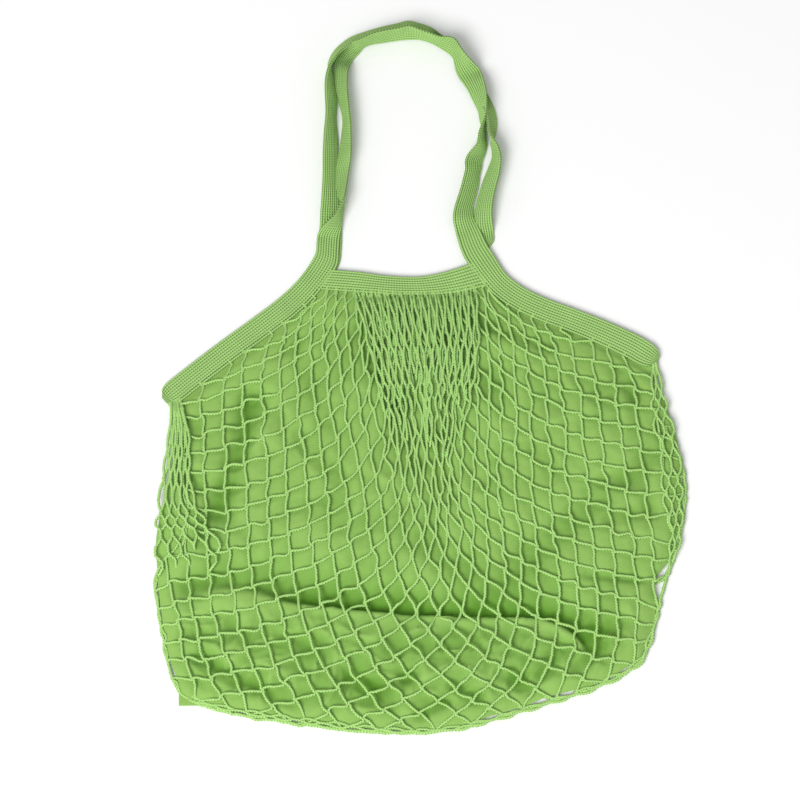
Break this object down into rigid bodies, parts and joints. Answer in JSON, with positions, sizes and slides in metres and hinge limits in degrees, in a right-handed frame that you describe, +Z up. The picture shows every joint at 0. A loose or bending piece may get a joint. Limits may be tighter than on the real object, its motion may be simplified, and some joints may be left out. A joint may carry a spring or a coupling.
{
  "type": "mesh market bag",
  "caption": "Knitted mesh market bag with a cloth lining and two long tape handles, lying flat and empty with its front up.",
  "frame": {"origin": "bottom centre of the bag's box, on the surface it lies on", "axes": "+Y along the bag from its bottom to its handles, +X across it, +Z up out of its front"},
  "size_m": [0.4219, 0.6099, 0.0199],
  "materials": {
    "net_cotton": "light green knitted cotton cord, matt",
    "lining_cloth": "plain woven green cloth, matt, soft creases",
    "knitted_tape": "light green knitted tape with lengthwise ribs, matt"
  },
  "bodies": {
    "root": {"net": "net_cotton", "lining": "lining_cloth", "handle_front": "knitted_tape", "handle_back": "knitted_tape", "rim_front": "knitted_tape", "rim_back": "knitted_tape"}
  },
  "joints": []
}
